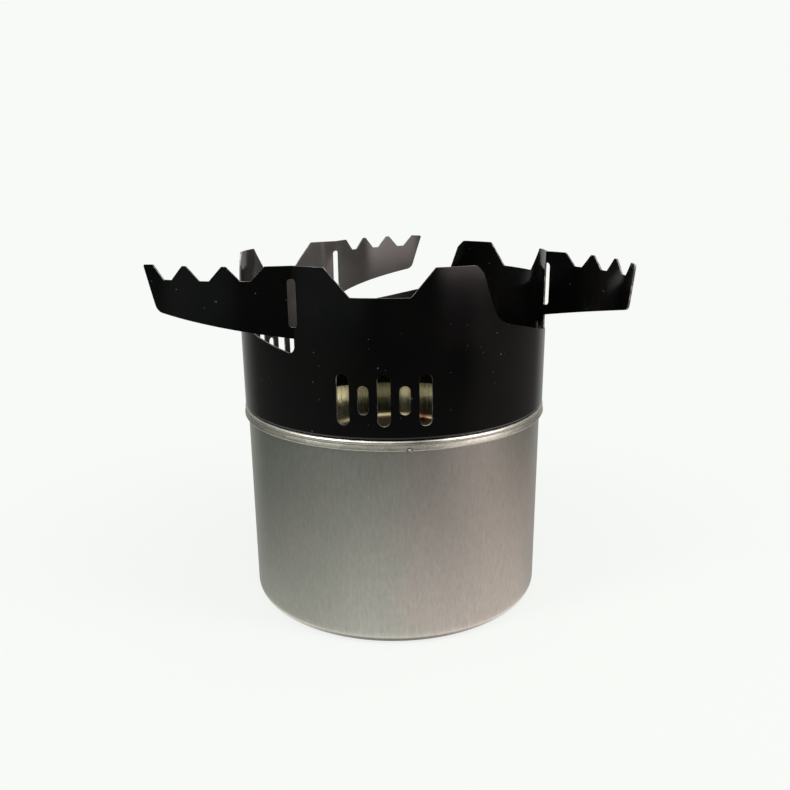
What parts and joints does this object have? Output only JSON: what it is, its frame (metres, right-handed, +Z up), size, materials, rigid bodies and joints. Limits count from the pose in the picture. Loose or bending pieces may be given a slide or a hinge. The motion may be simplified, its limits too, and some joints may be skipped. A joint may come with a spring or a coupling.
{
  "type": "alcohol stove",
  "caption": "Round steel tin holding a brass open-jet alcohol burner, with a black slotted windscreen crown whose toothed arms swing out to carry a pot.",
  "frame": {"origin": "centre of the tin's flat base, on the surface the stove stands on", "axes": "+Z is up, out of the tin's mouth; -Y is the front, the side with a full panel of vents; +X is to the right seen from the front. The arms turn about upright lines parallel to Z."},
  "size_m": [0.1333, 0.1201, 0.1109],
  "materials": {
    "tin_steel": "satin, fine upright brush grain",
    "black_sheet": "satin black coating on thin sheet steel",
    "brass": "drawn brass, lightly tarnished",
    "wick_fibre": "matte fibre"
  },
  "bodies": {
    "tin": {"tin_body": "tin_steel"},
    "crown": {"crown_wall": "black_sheet"},
    "arm_left": {"support_arm_left": "black_sheet"},
    "arm_back": {"support_arm_back": "black_sheet"},
    "arm_right": {"support_arm_right": "black_sheet"},
    "burner": {"burner_cup": "brass", "burner_inner_wall": "brass", "burner_wick": "wick_fibre"}
  },
  "joints": [
    {"name": "crown_lift", "type": "slide", "parent": "tin", "child": "crown", "axis": [0, 0, 1], "range_m": [0, 0.04]},
    {"name": "burner_lift", "type": "slide", "parent": "tin", "child": "burner", "axis": [0, 0, 1], "range_m": [0, 0.115]},
    {"name": "arm_left_bend", "type": "hinge", "parent": "crown", "child": "arm_left", "pos_m": [-0.0268, -0.03988, 0.1], "axis": [0, 0, 1], "range_deg": [-49.5, 10.5]},
    {"name": "arm_back_bend", "type": "hinge", "parent": "crown", "child": "arm_back", "pos_m": [-0.02114, 0.04315, 0.1], "axis": [0, 0, 1], "range_deg": [-41.5, 18.5]},
    {"name": "arm_right_bend", "type": "hinge", "parent": "crown", "child": "arm_right", "pos_m": [0.04794, -0.00327, 0.1], "axis": [0, 0, 1], "range_deg": [-53, 7]}
  ]
}
